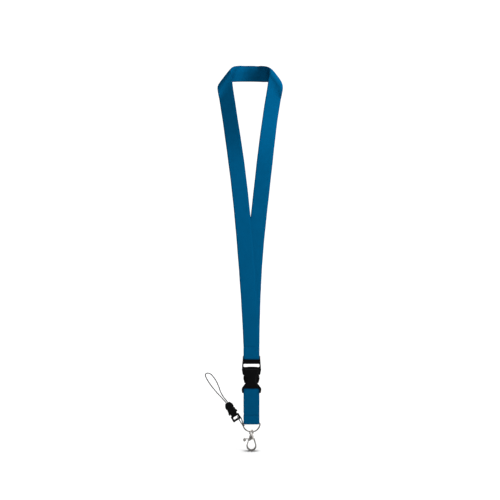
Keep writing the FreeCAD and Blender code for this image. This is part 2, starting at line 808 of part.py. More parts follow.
def main():
    """Make every piece, check it and write it."""
    make_neck_strap()
    make_stitching("neck_strap_stitching", size("neck_stitch_z"))
    make_buckle_frame()
    make_prong("buckle_prong_left", -1)
    make_prong("buckle_prong_right", 1)
    make_buckle_housing()
    make_lower_strap()
    make_stitching("lower_strap_stitching", size("low_stitch_z"))
    make_d_ring()
    make_tube("tether_cord", [hung(*point) for point in TETHER_ROUTE])
    make_swivel_eye()
    make_hook_body()
    make_gate_pin()
    make_gate_spring()
    make_hook_gate()
    make_mini_frame()
    make_mini_prong("mini_prong_left", -1)
    make_mini_prong("mini_prong_right", 1)
    make_mini_housing()
    make_tube("phone_cord", [hung(*point) for point in PHONE_CORD_ROUTE])
    make_phone_knot()
    doc.recompute()
    for obj in doc.Objects:
        if "Invalid" in obj.State or "Error" in obj.State:
            raise ValueError(f"{obj.Name} is {obj.State}")
    for node in nodes:
        if node.Shape.isNull() or not node.Shape.isValid():
            raise ValueError(f"{node.Label} has no valid shape")
        box = node.Shape.BoundBox
        ends = (box.XMin, box.XMax, box.YMin, box.YMax, box.ZMin, box.ZMax)
        reach = " ".join(f"{end:.1f}" for end in ends)
        print(f"{node.Label}: {len(node.Shape.Solids)} solids, {node.Shape.Volume:.1f} mm3, X Y Z {reach}")
    for node in nodes:
        node.Shape.exportStep(f"parts/{node.Label}.step")


main()
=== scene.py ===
import json
from math import atan2, cos, hypot, pi, radians, sin, sqrt

import bmesh
import bpy
import numpy as np
from bpy.props import FloatProperty, FloatVectorProperty, PointerProperty
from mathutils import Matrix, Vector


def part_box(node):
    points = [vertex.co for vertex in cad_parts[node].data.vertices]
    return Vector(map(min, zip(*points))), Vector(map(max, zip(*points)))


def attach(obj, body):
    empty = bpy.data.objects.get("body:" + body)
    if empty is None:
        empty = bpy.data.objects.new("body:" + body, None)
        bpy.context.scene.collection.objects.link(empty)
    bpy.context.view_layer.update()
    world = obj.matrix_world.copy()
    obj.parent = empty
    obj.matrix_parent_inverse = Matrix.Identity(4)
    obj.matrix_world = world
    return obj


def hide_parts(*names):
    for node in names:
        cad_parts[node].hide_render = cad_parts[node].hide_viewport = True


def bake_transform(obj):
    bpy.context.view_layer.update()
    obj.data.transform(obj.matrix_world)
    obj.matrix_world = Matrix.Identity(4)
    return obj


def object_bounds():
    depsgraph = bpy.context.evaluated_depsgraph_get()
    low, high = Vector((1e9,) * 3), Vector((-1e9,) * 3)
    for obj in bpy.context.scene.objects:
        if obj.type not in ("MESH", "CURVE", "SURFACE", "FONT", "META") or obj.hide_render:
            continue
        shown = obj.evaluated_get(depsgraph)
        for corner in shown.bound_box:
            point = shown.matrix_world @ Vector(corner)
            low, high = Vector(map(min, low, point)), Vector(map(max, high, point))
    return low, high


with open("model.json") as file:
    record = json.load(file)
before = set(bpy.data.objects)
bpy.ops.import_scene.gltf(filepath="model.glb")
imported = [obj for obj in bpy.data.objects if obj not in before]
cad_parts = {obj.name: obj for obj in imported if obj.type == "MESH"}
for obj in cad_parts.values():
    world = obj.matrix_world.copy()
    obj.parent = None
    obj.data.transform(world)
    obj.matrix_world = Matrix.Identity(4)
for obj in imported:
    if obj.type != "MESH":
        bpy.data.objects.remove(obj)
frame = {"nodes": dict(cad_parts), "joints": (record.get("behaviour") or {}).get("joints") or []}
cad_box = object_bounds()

bl_info = {
    "name": "Webbing Lanyard",
    "version": (1, 0),
    "blender": (4, 5, 0),
    "location": "View3D > Sidebar > Lanyard",
    "description": "Builds the visible straps, buckles, ring, hook and phone cord of a neck lanyard",
    "category": "Object",
}

# Lengths are in millimetres until a mesh is made. X runs to the wearer's left, -Y forward and Z up.
MM = 0.001

JOINTS = {joint["name"]: joint for joint in frame["joints"]}


def joint_place(name):
    """Where a joint's axis is, in millimetres."""
    return np.array(JOINTS[name]["pos_m"]) / MM


def low(node):
    """A CAD node's lowest corner, in millimetres."""
    return np.array(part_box(node)[0]) / MM


def high(node):
    """A CAD node's highest corner, in millimetres."""
    return np.array(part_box(node)[1]) / MM


FRAME_BAR = joint_place("buckle_swing")
HOUSING_BAR = joint_place("lower_strap_swing")
RING_BAR = joint_place("d_ring_swing")
HOOK_TOP = joint_place("hook_swivel")
GATE_PIN = joint_place("gate_open")
HANG_Y = FRAME_BAR[1]
NECK_STITCH_Z = (low("neck_strap_stitching")[2] + high("neck_strap_stitching")[2]) / 2
LOW_STITCH_Z = (low("lower_strap_stitching")[2] + high("lower_strap_stitching")[2]) / 2
MINI_TILT = atan2(-JOINTS["mini_release"]["axis"][0], JOINTS["mini_release"]["axis"][2])

# The bars that the straps wrap, and the foot of the small buckle's frame.
FRAME_BAR_RADIUS = 1.6
HOUSING_BAR_RADIUS = 2.0
MINI_PLACE = np.array([-18.0, HANG_Y, -448.35])

# The directions that most shapes are set out along.
FRONT = np.array([0.0, -1.0, 0.0])
BACK = np.array([0.0, 1.0, 0.0])
UP = np.array([0.0, 0.0, 1.0])


# ---------------------------------------------------------------- settings


def colour_property(name, description, colour):
    """A colour that can be picked in the panel."""
    return FloatVectorProperty(
        name=name, description=description, subtype="COLOR", size=3, min=0.0, max=1.0, default=colour
    )


def number_property(name, description, value, **limits):
    """A number that can be set in the panel."""
    return FloatProperty(name=name, description=description, default=value, **limits)


class WebbingSettings(bpy.types.PropertyGroup):
    """The straps."""

    width: number_property("Width", "Width of the webbing, mm", 20.7, min=5.0)
    thickness: number_property("Thickness", "Thickness of the webbing, mm", 0.9, min=0.3)
    layer_step: number_property("Layer step", "From one sewn layer to the next, mm", 1.0)
    wrap_gap: number_property("Wrap gap", "Between a bar and its loop, mm", 0.22)
    fold_radius: number_property("Fold radius", "Of the soft folds by the neck, mm", 6.0)
    fold_height: number_property("Fold height", "Where the legs reach the folds, mm", -12.8)
    twist: number_property("Twist", "Turn of the legs outwards", radians(16.0), subtype="ANGLE")
    warp_pitch: number_property("Warp pitch", "Between two warp ribs, mm", 0.55)
    weft_pitch: number_property("Weft pitch", "Between two weft rows, mm", 0.8)
    colour: colour_property("Colour", "Petrol blue of the yarn", (0.0, 0.052, 0.126))


class HardwareSettings(bpy.types.PropertyGroup):
    """The moulded and cast pieces."""

    plastic: colour_property("Plastic", "Colour of the buckles", (0.0014, 0.0014, 0.0016))
    nickel: colour_property("Nickel", "Colour of the plated metal", (0.60, 0.585, 0.565))
    ring_wire: number_property("Ring wire", "Radius of the ring's wire, mm", 0.9)
    ring_radius: number_property("Ring radius", "Of the ring's large arc, mm", 11.3)
    ring_corner: number_property("Ring corner", "Of the ring's small corners, mm", 1.5)


class CordSettings(bpy.types.PropertyGroup):
    """The thin cords."""

    radius: number_property("Radius", "Of the cord, mm", 0.62)
    braid_pitch: number_property("Braid pitch", "One turn of a strand, mm", 3.2)
    colour: colour_property("Colour", "Colour of the braid", (0.010, 0.010, 0.011))


class StageSettings(bpy.types.PropertyGroup):
    """The camera and the lights."""

    distance: number_property("Distance", "From the camera to the lanyard", 2.0, unit="LENGTH")
    view_width: number_property("View width", "Width of the view there", 0.6475, unit="LENGTH")
    key: number_property("Key", "Power of the large side light, W", 3.3)
    overhead: number_property("Overhead", "Brightness of the ceiling", 1.78)
    walls: number_property("Walls", "Brightness of the room's walls", 0.22)


# ---------------------------------------------------------------- meshes


def grid_faces(rows, columns, closed_rows=False):
    """The quads of a grid of points numbered row by row. Each row is a ring, and the rows are if asked."""
    row = np.arange(rows if closed_rows else rows - 1)[:, None]
    column = np.arange(columns)[None, :]
    next_row, next_column = (row + 1) % rows, (column + 1) % columns
    corners = (
        row * columns + column,
        row * columns + next_column,
        next_row * columns + next_column,
        next_row * columns + column,
    )
    return np.stack([corner.ravel() for corner in corners], axis=1)


def joined(*shells):
    """Several shells as one: a shell is its points and its faces."""
    points, faces, count = [], [], 0
    for shell_points, shell_faces in shells:
        points.append(shell_points)
        faces += [tuple(int(index) + count for index in face) for face in shell_faces]
        count += len(shell_points)
    return np.concatenate(points), faces


def new_mesh(name, shell, uv=None):
    """A mesh of a shell in millimetres. uv holds two numbers for each point, or for each face's corner."""
    points, faces = shell
    mesh = bpy.data.meshes.new(name)
    mesh.from_pydata((points * MM).tolist(), [], [tuple(map(int, face)) for face in faces])
    if uv is not None:
        if len(uv) == len(points):
            loops = np.empty(len(mesh.loops), np.int32)
            mesh.loops.foreach_get("vertex_index", loops)
            uv = uv[loops]
        mesh.uv_layers.new(name="UVMap").data.foreach_set("uv", uv.astype(np.float32).ravel())
    mesh.polygons.foreach_set("use_smooth", [True] * len(mesh.polygons))
    mesh.validate()
    mesh.update()
    return mesh


def new_piece(name, mesh, body, material, node):
    """A finished piece: its mesh in an object at the origin, on its body if it has one, for its CAD node."""
    piece = bpy.data.objects.new(name, mesh)
    bpy.context.scene.collection.objects.link(piece)
    mesh.materials.clear()
    mesh.materials.append(material)
    if body:
        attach(piece, body)
    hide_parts(node)
    return piece


def facing_out(mesh):
    """Turn a closed mesh's faces outwards."""
    work = bmesh.new()
    work.from_mesh(mesh)
    bmesh.ops.remove_doubles(work, verts=work.verts, dist=1e-7)
    bmesh.ops.recalc_face_normals(work, faces=work.faces)
    work.to_mesh(mesh)
    work.free()
    return mesh


def mesh_shell(mesh):
    """A mesh as a shell."""
    points = np.empty(len(mesh.vertices) * 3, np.float32)
    mesh.vertices.foreach_get("co", points)
    return points.reshape(-1, 3).astype(float), [tuple(face.vertices) for face in mesh.polygons]


def cad_shell(node):
    """A merged copy of a CAD node's mesh, in millimetres."""
    work = bmesh.new()
    work.from_mesh(frame["nodes"][node].data)
    bmesh.ops.remove_doubles(work, verts=work.verts, dist=2e-6)
    mesh = bpy.data.meshes.new("merged")
    work.to_mesh(mesh)
    work.free()
    points, faces = mesh_shell(mesh)
    bpy.data.meshes.remove(mesh)
    return points / MM, faces


def tilted(tilt):
    """The matrix of a turn about Y."""
    return np.array([[cos(tilt), 0, sin(tilt)], [0, 1, 0], [-sin(tilt), 0, cos(tilt)]])


def at(shell, place, tilt=0.0):
    """A shell moved from its own axes to its place, after a turn about Y."""
    points, faces = shell
    return points @ tilted(tilt).T + place, faces


def bare_object(name, shell):
    """A shell as an object to run modifiers on."""
    points, faces = shell
    mesh = bpy.data.meshes.new(name)
    mesh.from_pydata(points.tolist(), [], [tuple(map(int, face)) for face in faces])
    holder = bpy.data.objects.new(name, mesh)
    bpy.context.scene.collection.objects.link(holder)
    return holder


def evaluated_mesh(holder):
    """A new mesh of what an object's modifiers, or its curve, make."""
    return bpy.data.meshes.new_from_object(holder.evaluated_get(bpy.context.evaluated_depsgraph_get()))


def soft_cast(name, shell, voxel, passes, tilt=0.0):
    """A shell made even and soft-edged, as a mould or a die leaves it.

    The closed parts of the shell are filled with cubes of side voxel, the skin of those cubes is taken, and
    each pass moves a point half-way to the middle of its neighbours. A tilted piece is stood upright first,
    so that its flat faces lie along the cubes.
    """
    turn = tilted(tilt)
    points, faces = shell
    holder = bare_object(name, (points @ turn.T, faces))
    even = holder.modifiers.new("Even", "REMESH")
    even.mode = "VOXEL"
    even.voxel_size = voxel
    soft = holder.modifiers.new("Soft", "SMOOTH")
    soft.factor = 0.5
    soft.iterations = passes
    mesh = evaluated_mesh(holder)
    bpy.data.meshes.remove(holder.data)
    places = mesh_shell(mesh)[0] @ turn * MM
    mesh.vertices.foreach_set("co", places.astype(np.float32).ravel())
    mesh.polygons.foreach_set("use_smooth", [True] * len(mesh.polygons))
    mesh.update()
    mesh.name = name
    return mesh


def carved(shell, cutter):
    """A shell with another cut out of it."""
    holders = [bare_object("carving", part) for part in (shell, cutter)]
    for holder in holders:
        facing_out(holder.data)
    cut = holders[0].modifiers.new("Cut", "BOOLEAN")
    cut.operation = "DIFFERENCE"
    cut.solver = "EXACT"
    cut.object = holders[1]
    mesh = evaluated_mesh(holders[0])
    result = mesh_shell(mesh)
    for used in (mesh, *(holder.data for holder in holders)):
        bpy.data.meshes.remove(used)
    return result


def cast_piece(name, shell, voxel, passes, body, slot, material, node, tilt=0.0):
    """A softened shell as a finished piece in place of its CAD node."""
    return new_piece(name, soft_cast(name, shell, voxel, passes, tilt), body, material, node)


def skin_piece(name, skin, body, material, node):
    """A skin, which is a shell and its map, as a finished piece in place of its CAD node."""
    return new_piece(name, facing_out(new_mesh(name, *skin)), body, material, node)


def outline(corners, spacing=0.3):
    """A closed outline from its corners, as points in its plane.

    After the first corner each one is a point, or the middle and the end of an arc. The arc's circle is the
    one through its three points, and its points are evenly spaced on it.
    """
    here = np.array(corners[0], float)
    points = [here]
    for corner in corners[1:]:
        there = np.array(corner[-2:], float)
        if len(corner) == 4:
            middle = np.array(corner[:2], float)
            chord, half = there - here, middle - here
            chord_normal, half_normal = np.array([-chord[1], chord[0]]), np.array([half[1], -half[0]])
            twice_area = 2 * (chord[0] * half[1] - chord[1] * half[0])
            centre = here + (half @ half * chord_normal + chord @ chord * half_normal) / twice_area
            radius = hypot(*(here - centre))
            first = atan2(*(here - centre)[::-1])
            turn = (atan2(*(there - centre)[::-1]) - first) % (2 * pi)
            part = (atan2(*(middle - centre)[::-1]) - first) % (2 * pi)
            turn = turn if part < turn else turn - 2 * pi
            count = max(4, int(abs(turn) * radius / spacing))
            angles = first + turn * np.arange(1, count) / count
            points += list(centre + radius * np.stack([np.cos(angles), np.sin(angles)], axis=1))
        points.append(there)
        here = there
    return np.array(points)


def flipped(corner, side):
    """A corner with its X on one side: -1 is left and 1 right."""
    return tuple(value * side if number % 2 == 0 else value for number, value in enumerate(corner))


def mirrored(half):
    """A whole outline's corners from its right half, given from top to bottom along the outside."""
    left = []
    for number in range(len(half) - 1, 0, -1):
        end = flipped(half[number - 1][-2:], -1)
        left.append(flipped(half[number][:2], -1) + end if len(half[number]) == 4 else end)
    return [*half, flipped(half[-1][-2:], -1), *left]


def prism(line, front, back):
    """An outline in X and Z carried along Y, closed at both ends."""
    count = len(line)
    near = np.stack([line[:, 0], np.full(count, front), line[:, 1]], axis=1)
    far = near + [0, back - front, 0]
    caps = [tuple(range(count)), tuple(range(2 * count - 1, count - 1, -1))]
    return np.concatenate([near, far]), [*map(tuple, grid_faces(2, count)), *caps]


def raised_panels(half, half_thick, proud, depth, place, tilt=0.0):
    """A housing's two raised panels, one in front and one behind, from the right half of their outline."""
    edge = outline(mirrored(half))
    front = at(prism(edge, -half_thick - proud, -half_thick + depth), place, tilt)
    back = at(prism(edge, half_thick - depth, half_thick + proud), place, tilt)
    return front, back


def lathed(profile, around=40):
    """A closed profile of radii and heights turned about the Z axis: (r cos a, r sin a, z) over angle a."""
    profile = np.array(profile, float)
    angle = 2 * pi * np.arange(around) / around
    radii, heights = profile[:, None, 0], profile[:, None, 1]
    points = np.stack([radii * np.cos(angle), radii * np.sin(angle), heights + 0 * angle], axis=2)
    return points.reshape(-1, 3), grid_faces(len(profile), around, closed_rows=True)


def unit(vectors):
    """Vectors of length 1."""
    return vectors / np.linalg.norm(vectors, axis=-1, keepdims=True)


def path_length(path):
    """How far along its path each point lies."""
    return np.concatenate([[0.0], np.cumsum(np.linalg.norm(np.diff(path, axis=0), axis=1))])


def respaced(rows, step):
    """Rows that each start with a point, taken again so that the points are a step apart."""
    distance = path_length(rows[:, :3])
    keep = np.append(True, np.diff(distance) > 1e-6)
    even = np.linspace(0, distance[-1], int(distance[-1] / step))
    return np.stack([np.interp(even, distance[keep], column) for column in rows[keep].T], axis=1)


def tube(path, radius, reference, around=16, closed=False, relief=None):
    """A circle carried along a path, with its map: the share of the way round and the distance along.

    The circle stands square to the path, and its angle is counted from the way that is across both the path
    and the reference direction. Relief is a function of the angle and the distance that scales the circle. An
    open tube ends in domes.
    """
    path = np.array(path, float)
    radius = np.full(len(path), float(radius))
    if closed:
        ahead = unit(np.roll(path, -1, axis=0) - np.roll(path, 1, axis=0))
    else:
        ahead = unit(np.gradient(path, axis=0))
        swing = np.linspace(0, pi / 2, 6)[1:]
        swing[-1] = 0.49 * pi
        reach, shrink = np.sin(swing)[:, None], np.cos(swing)
        near = path[0] - (ahead[0] * radius[0] * reach)[::-1]
        far = path[-1] + ahead[-1] * radius[-1] * reach
        path = np.concatenate([near, path, far])
        radius = np.concatenate([(radius[0] * shrink)[::-1], radius, radius[-1] * shrink])
        ends = np.ones((len(swing), 1))
        ahead = np.concatenate([ends * ahead[0], ahead, ends * ahead[-1]])
    side = unit(np.cross(ahead, reference))
    up = np.cross(side, ahead)
    distance = path_length(path)
    rows = len(path)
    angle = 2 * pi * np.arange(around) / around
    size = radius[:, None] * (1.0 if relief is None else relief(angle[None, :], distance[:, None]))
    size = np.broadcast_to(size, (rows, around))
    across, over = (size * np.cos(angle))[:, :, None], (size * np.sin(angle))[:, :, None]
    points = path[:, None, :] + side[:, None, :] * across + up[:, None, :] * over
    quads = grid_faces(rows, around, closed_rows=closed)
    faces = [tuple(face) for face in quads]
    corner_row, corner_column = quads // around, quads % around
    share = corner_column / around
    share[(corner_column == 0) & (corner_column[:, [1]] == 0)] = 1.0
    along = np.append(distance, distance[-1] + np.linalg.norm(path[-1] - path[0]))
    past_end = closed & (corner_row == 0) & (corner_row[:, [0]] == rows - 1)
    uv = np.stack([share, along[np.where(past_end, rows, corner_row)]], axis=2).reshape(-1, 2)
    if not closed:
        faces += [tuple(range(around))[::-1], tuple(range((rows - 1) * around, rows * around))]
        uv = np.concatenate([uv, np.zeros((2 * around, 2))])
    return (points.reshape(-1, 3), faces), uv


# ---------------------------------------------------------------- materials


def math_step(operation, swapped=False):
    """A method that puts one Math node after a value, or after another value and then this one."""

    def step(self, other=0.0):
        first, second = (other, self) if swapped else (self, other)
        return self.node("ShaderNodeMath", {"operation": operation}, {0: first, 1: second})

    return step


class Shade:
    """A value in a material's nodes. Arithmetic on it adds Math nodes."""

    def __init__(self, tree, socket=None):
        self.tree = tree
        self.socket = socket

    def node(self, kind, settings, sockets, output=0):
        """Add any node: first its settings, then its sockets' values or links, by their names or numbers."""
        made = self.tree.nodes.new(kind)
        for setting, value in settings.items():
            setattr(made, setting, value)
        for name, value in sockets.items():
            if isinstance(value, Shade):
                self.tree.links.new(value.socket, made.inputs[name])
            else:
                made.inputs[name].default_value = value
        return Shade(self.tree, made.outputs[output])

    __add__ = __radd__ = math_step("ADD")
    __sub__, __rsub__ = math_step("SUBTRACT"), math_step("SUBTRACT", swapped=True)
    __mul__ = __rmul__ = math_step("MULTIPLY")
    __truediv__, __pow__ = math_step("DIVIDE"), math_step("POWER")
    __abs__, sine, floor = math_step("ABSOLUTE"), math_step("SINE"), math_step("FLOOR")

    def above(self, edge, soft):
        """0 below the edge, 1 above it, and a soft step between."""
        settings = {"interpolation_type": "SMOOTHSTEP"}
        sockets = {"Value": self, "From Min": edge - soft, "From Max": edge + soft}
        return self.node("ShaderNodeMapRange", settings, sockets)


def new_material(name, **constants):
    """A material and a place to start values from. Constants go straight onto the shader."""
    material = bpy.data.materials.new(name)
    material.use_nodes = True
    shader = material.node_tree.nodes["Principled BSDF"]
    for socket, value in constants.items():
        shader.inputs[socket.replace("_", " ")].default_value = value
    return material, Shade(material.node_tree)


def surfaced(material, colour, relief, depth, roughness=None):
    """Feed a material its colour, its roughness and a relief: heights from 0 to 1 over a depth in metres."""
    bump = relief.node("ShaderNodeBump", {}, {"Strength": 1.0, "Distance": depth, "Height": relief})
    shader = material.node_tree.nodes["Principled BSDF"]
    for name, value in (("Base Color", colour), ("Roughness", roughness), ("Normal", bump)):
        if value is not None:
            material.node_tree.links.new(value.socket, shader.inputs[name])
    return material


def blend_colours(values, share, first, second):
    """One colour where the share is 0 and another where it is 1."""
    sockets = {"Factor": share, 6: first, 7: second}
    return values.node("ShaderNodeMix", {"data_type": "RGBA"}, sockets, output=2)


def mapped(values):
    """The two numbers of the piece's own map."""
    place = values.node("ShaderNodeTexCoord", {}, {}, output=2)
    return [values.node("ShaderNodeSeparateXYZ", {}, {0: place}, output=number) for number in (0, 1)]


def noise(values, scale, detail=2.0, roughness=0.5):
    """Smooth noise from 0 to 1 over the piece's own coordinates. The scale counts its waves in a metre."""
    place = values.node("ShaderNodeTexCoord", {}, {}, output=3)
    sockets = {"Vector": place, "Scale": scale, "Detail": detail, "Roughness": roughness}
    return values.node("ShaderNodeTexNoise", {}, sockets)


def shades_of(colour, *factors):
    """A colour made lighter or darker by each factor, as a pair where there are two."""
    shades = [(*(min(1.0, part * factor) for part in colour), 1.0) for factor in factors]
    return shades if len(shades) > 1 else shades[0]


def webbing_material(settings):
    """Flat-woven polyester: warp ribs that dip under each weft row in turn, and denser selvedges.

    Its colour holds painted shade in the weave's dips and painted light on the ribs' crowns. The darker
    selvedges are partly their denser weave and partly painted shade along the strap's edges.
    """
    material, values = new_material("petrol_webbing", Specular_IOR_Level=0.015)
    across, along = mapped(values)
    rib = across / settings.warp_pitch
    ridge = abs((rib * pi).sine())
    row = (along / settings.weft_pitch * (2 * pi) + rib.floor() * pi).sine() * 0.5 + 0.5
    weave = ridge ** 0.6 * (row * 0.55 + 0.45)
    half_width = settings.width / 2
    selvedge = abs(across).above(half_width - 0.9, 0.25)
    cord_edge = abs(across).above(half_width - 0.32, 0.12)
    cloud = noise(values, 90.0, detail=3.0)
    fleck = noise(values, 2600.0, detail=1.0)
    # The weave paints shade into the colour in its dips and light on the ribs' crowns; the cloud and the
    # flecks are the yarn's own uneven tone.
    depth = weave * 0.42 + cloud * 0.16 + fleck * 0.1
    colour = blend_colours(values, depth, *shades_of(settings.colour, 0.62, 1.5))
    # The darker selvedges are partly their denser weave and partly painted shade along the strap's edges.
    colour = blend_colours(values, selvedge * 0.5, colour, shades_of(settings.colour, 0.45))
    relief = weave * (1 - selvedge * 0.6) + cord_edge * 0.5
    return surfaced(material, colour, relief, 0.00009, 0.97 - weave * 0.14)


def thread_material(settings):
    """Two-ply sewing thread, a shade darker than the webbing, with painted shade between its plies."""
    material, values = new_material("petrol_thread", Specular_IOR_Level=0.03, Roughness=0.9)
    around, along = mapped(values)
    ply = abs((around * (2 * pi) + along * 5.0).sine())
    # The ply pattern also darkens the colour between the plies: painted shade.
    return surfaced(material, blend_colours(values, ply, *shades_of(settings.colour, 0.4, 1.1)), ply, 0.00004)


def plastic_material(settings):
    """Black acetal from a fine-eroded mould: a faint grain, flow marks and a few duller rubs."""
    material, values = new_material("black_acetal", Specular_IOR_Level=0.13)
    flow = noise(values, 160.0, detail=2.0)
    grain = noise(values, 5200.0, detail=2.0)
    rub = noise(values, 420.0, detail=4.0, roughness=0.65).above(0.62, 0.06)
    colour = blend_colours(values, flow * 0.5 + grain * 0.5, *shades_of(settings.plastic, 0.7, 1.4))
    colour = blend_colours(values, rub * 0.35, colour, shades_of(settings.plastic, 3.0))
    relief = grain * 0.7 + rub * 0.15
    return surfaced(material, colour, relief, 0.000025, 0.3 + flow * 0.12 + rub * 0.14)


def nickel_material(settings, name="plated_nickel", dullness=0.0, shade=1.0):
    """Bright nickel over a cast or drawn core, with slight ripples, haze and fine handling marks.

    A factor above 1 paints light into its colour and one below 1 paints shade.
    """
    material, values = new_material(name, Metallic=1.0)
    haze = noise(values, 300.0, detail=3.0)
    mark = noise(values, 2400.0, detail=3.0, roughness=0.7).above(0.6, 0.08)
    # The factor scales the colour: painted light above 1, painted shade below 1.
    bright = shades_of(settings.nickel, shade * 1.08)
    warm = (settings.nickel[0] * 0.86, settings.nickel[1] * 0.81, settings.nickel[2] * 0.76, 1.0)
    colour = blend_colours(values, haze.above(0.5, 0.3) * 0.7, bright, warm)
    roughness = 0.2 + dullness + haze * 0.08 + mark * 0.12
    return surfaced(material, colour, haze * 0.95 + mark * 0.05, 0.00003, roughness)


def cord_material(settings):
    """A thin black braid: two families of strands that cross round the cord, with painted highlights on
    the strands' crowns.
    """
    material, values = new_material("black_braid", Specular_IOR_Level=0.2)
    around, along = mapped(values)
    turn = along / settings.braid_pitch * (4 * pi)
    one = abs((around * (4 * pi) + turn).sine())
    other = abs((around * (4 * pi) - turn).sine())
    strand = (one + other) * 0.5
    # The strands' crowns are painted up to five times lighter than the black yarn: painted highlight.
    colour = blend_colours(values, strand ** 2.0, *shades_of(settings.colour, 0.6, 5.0))
    return surfaced(material, colour, strand, 0.00006, 0.75 - strand * 0.2)


def finish(name, maker, *details):
    """A material by its name, made the first time that it is asked for."""
    return bpy.data.materials.get(name) or maker(*details)


# ---------------------------------------------------------------- straps


def smooth_step(value):
    """0 below 0, 1 above 1, and a soft step between."""
    value = np.clip(value, 0, 1)
    return value * value * (3 - 2 * value)


class Run:
    """A stretch of strap: its middle line, its outer side, and how far its sections lean along it.

    A section is a line across the strap. A lean of 1 sets it at 45 degrees to the strap's way across. A swell
    pushes the section's middle out by so many millimetres.
    """

    def __init__(self, middle, outward, lean=0.0, swell=0.0):
        count = len(middle)
        self.middle = np.array(middle, float)
        self.outward = np.broadcast_to(outward, (count, 3)).astype(float)
        self.lean = np.broadcast_to(lean, count).astype(float)
        self.swell = np.broadcast_to(swell, count).astype(float)

    def backwards(self):
        """The same stretch from its other end."""
        return Run(self.middle[::-1], self.outward[::-1], self.lean[::-1], self.swell[::-1])


class Leg:
    """One leg of the neck strap and the fold at its top.

    At height h over the stitching the leg's middle is side * (lean h + flare h^2) from the middle of the
    lanyard, and it sways a little to one side between its ends. At its top it rolls half round a cylinder
    that halves the angle between the leg and the band, so the cloth is bent and never stretched.
    """

    LEAN_AND_FLARE = {-1: (0.0421, 0.000177), 1: (0.008, 0.000248)}
    BAND_SLOPE = 0.088  # of the band where it leaves a fold
    FOLD_FORWARD = 4.0  # from the neck mount's plane to the band

    def __init__(self, side, layer_y, settings, sway, swell):
        self.side, self.layer_y, self.settings, self.sway, self.swell = side, layer_y, settings, sway, swell
        self.lean, self.flare = self.LEAN_AND_FLARE[side]
        self.top = settings.fold_height - NECK_STITCH_Z
        self.fold_y = settings.thickness / 2 - self.FOLD_FORWARD - 2 * settings.fold_radius
        upwards = self.upwards(np.array([self.top]))[0]
        self.axis = unit(upwards + unit(np.array([-side, 0, self.BAND_SLOPE])))
        self.out = self.outwards(self.axis)
        self.creep = (upwards @ self.axis) / (upwards @ self.out)

    def outwards(self, directions):
        """The way out to the leg's own side, square to directions in the hanging plane."""
        x, z = directions[..., 0], directions[..., 2]
        return self.side * np.stack([z, 0 * x, -x], axis=-1)

    def middle_x(self, height):
        """How far the leg's middle is from the middle of the lanyard at each height, without its sway."""
        return self.side * (self.lean * height + self.flare * height**2)

    def upwards(self, height):
        """The leg's own direction at each height."""
        slope = self.side * (self.lean + 2 * self.flare * height)
        return unit(np.stack([slope, 0 * height, 1 + 0 * height], axis=1))

    def rise(self):
        """From the stitching to the fold. Where the legs part the strap moves forward and turns outwards.

        The middle sways by sin^2 of a half turn over a stretch of the height. The twist comes on softly and
        goes again just under the fold, where the sections lean over instead.
        """
        legs_part, lean_length = 175.0, 26.0
        sway_from, sway_length = 95.0, 225.0
        twist_from, twist_length, untwist_length = legs_part + 45.0, 75.0, 16.0
        height = np.linspace(0, self.top, 280)
        share = (height - legs_part) / (self.top - legs_part)
        y = self.layer_y + (self.fold_y - self.layer_y) * smooth_step(share)
        sway = self.sway * np.sin(pi * np.clip((height - sway_from) / sway_length, 0, 1)) ** 2
        middle = np.stack([self.middle_x(height) + sway, y, NECK_STITCH_Z + height], axis=1)
        left = self.top - height
        twist = smooth_step((height - twist_from) / twist_length) * smooth_step(left / untwist_length)
        twist = (self.settings.twist * twist)[:, None]
        outward = FRONT * np.cos(twist) + self.outwards(self.upwards(height)) * np.sin(twist)
        return Run(middle, outward, -self.side * self.creep * smooth_step(1 - left / lean_length))

    def fold(self):
        """The roll: at angle a the middle is creep r a along it, r sin a out and r (1 - cos a) back."""
        angle = np.linspace(0, pi, 48)[1:, None]
        radius = self.settings.fold_radius
        start = np.array([self.middle_x(self.top), self.fold_y, self.settings.fold_height])
        round_it = self.out * radius * np.sin(angle) + BACK * radius * (1 - np.cos(angle))
        middle = start + self.axis * (self.creep * radius * angle) + round_it
        swell = self.swell * np.sin(angle[:, 0])
        return Run(middle, self.out * np.sin(angle) - BACK * np.cos(angle), -self.side * self.creep, swell)


def band_run(left, right, lean_length=24.0):
    """The band behind the neck: a flat arch between the two folds, bowed back in its middle.

    Over a share s of its span it rises rise * 4 s (1 - s). It bows back slowly from its left end and comes
    forward again quickly at its right end.
    """
    share = np.linspace(0, 1, 90)[1:-1]
    first, last = left.middle[-1], right.middle[-1]
    span = last[0] - first[0]
    bow, arch_radius = 3.4, 250.0
    rise = (span / 2) ** 2 / (2 * arch_radius)
    back = bow * smooth_step(share / 0.45) * smooth_step((1 - share) / 0.24)
    middle = first + (last - first) * share[:, None]
    middle = middle + np.stack([0 * share, back, rise * 4 * share * (1 - share)], axis=1)
    outward = unit(np.stack([-np.gradient(back, middle[:, 0]), 1 + 0 * share, 0 * share], axis=1))
    near = 1 - smooth_step(share * span / lean_length)
    far = 1 - smooth_step((1 - share) * span / lean_length)
    return Run(middle, outward, left.lean[-1] * near + right.lean[-1] * far)


def wrap_run(bar, bar_radius, start, end, settings):
    """The strap round a bar. Angles are counted from the front, downwards."""
    radius = bar_radius + settings.wrap_gap + settings.thickness / 2
    angle = np.linspace(start, end, 40)
    outward = np.stack([0 * angle, -np.cos(angle), -np.sin(angle)], axis=1)
    return Run(np.array([0, HANG_Y, bar[2]]) + outward * radius, outward)


def flat_run(y, heights, outward_y):
    """A stretch that hangs straight down, its y counted from the plane that everything hangs in."""
    return Run([(0.0, HANG_Y + y, z) for z in heights], [0.0, outward_y, 0.0])


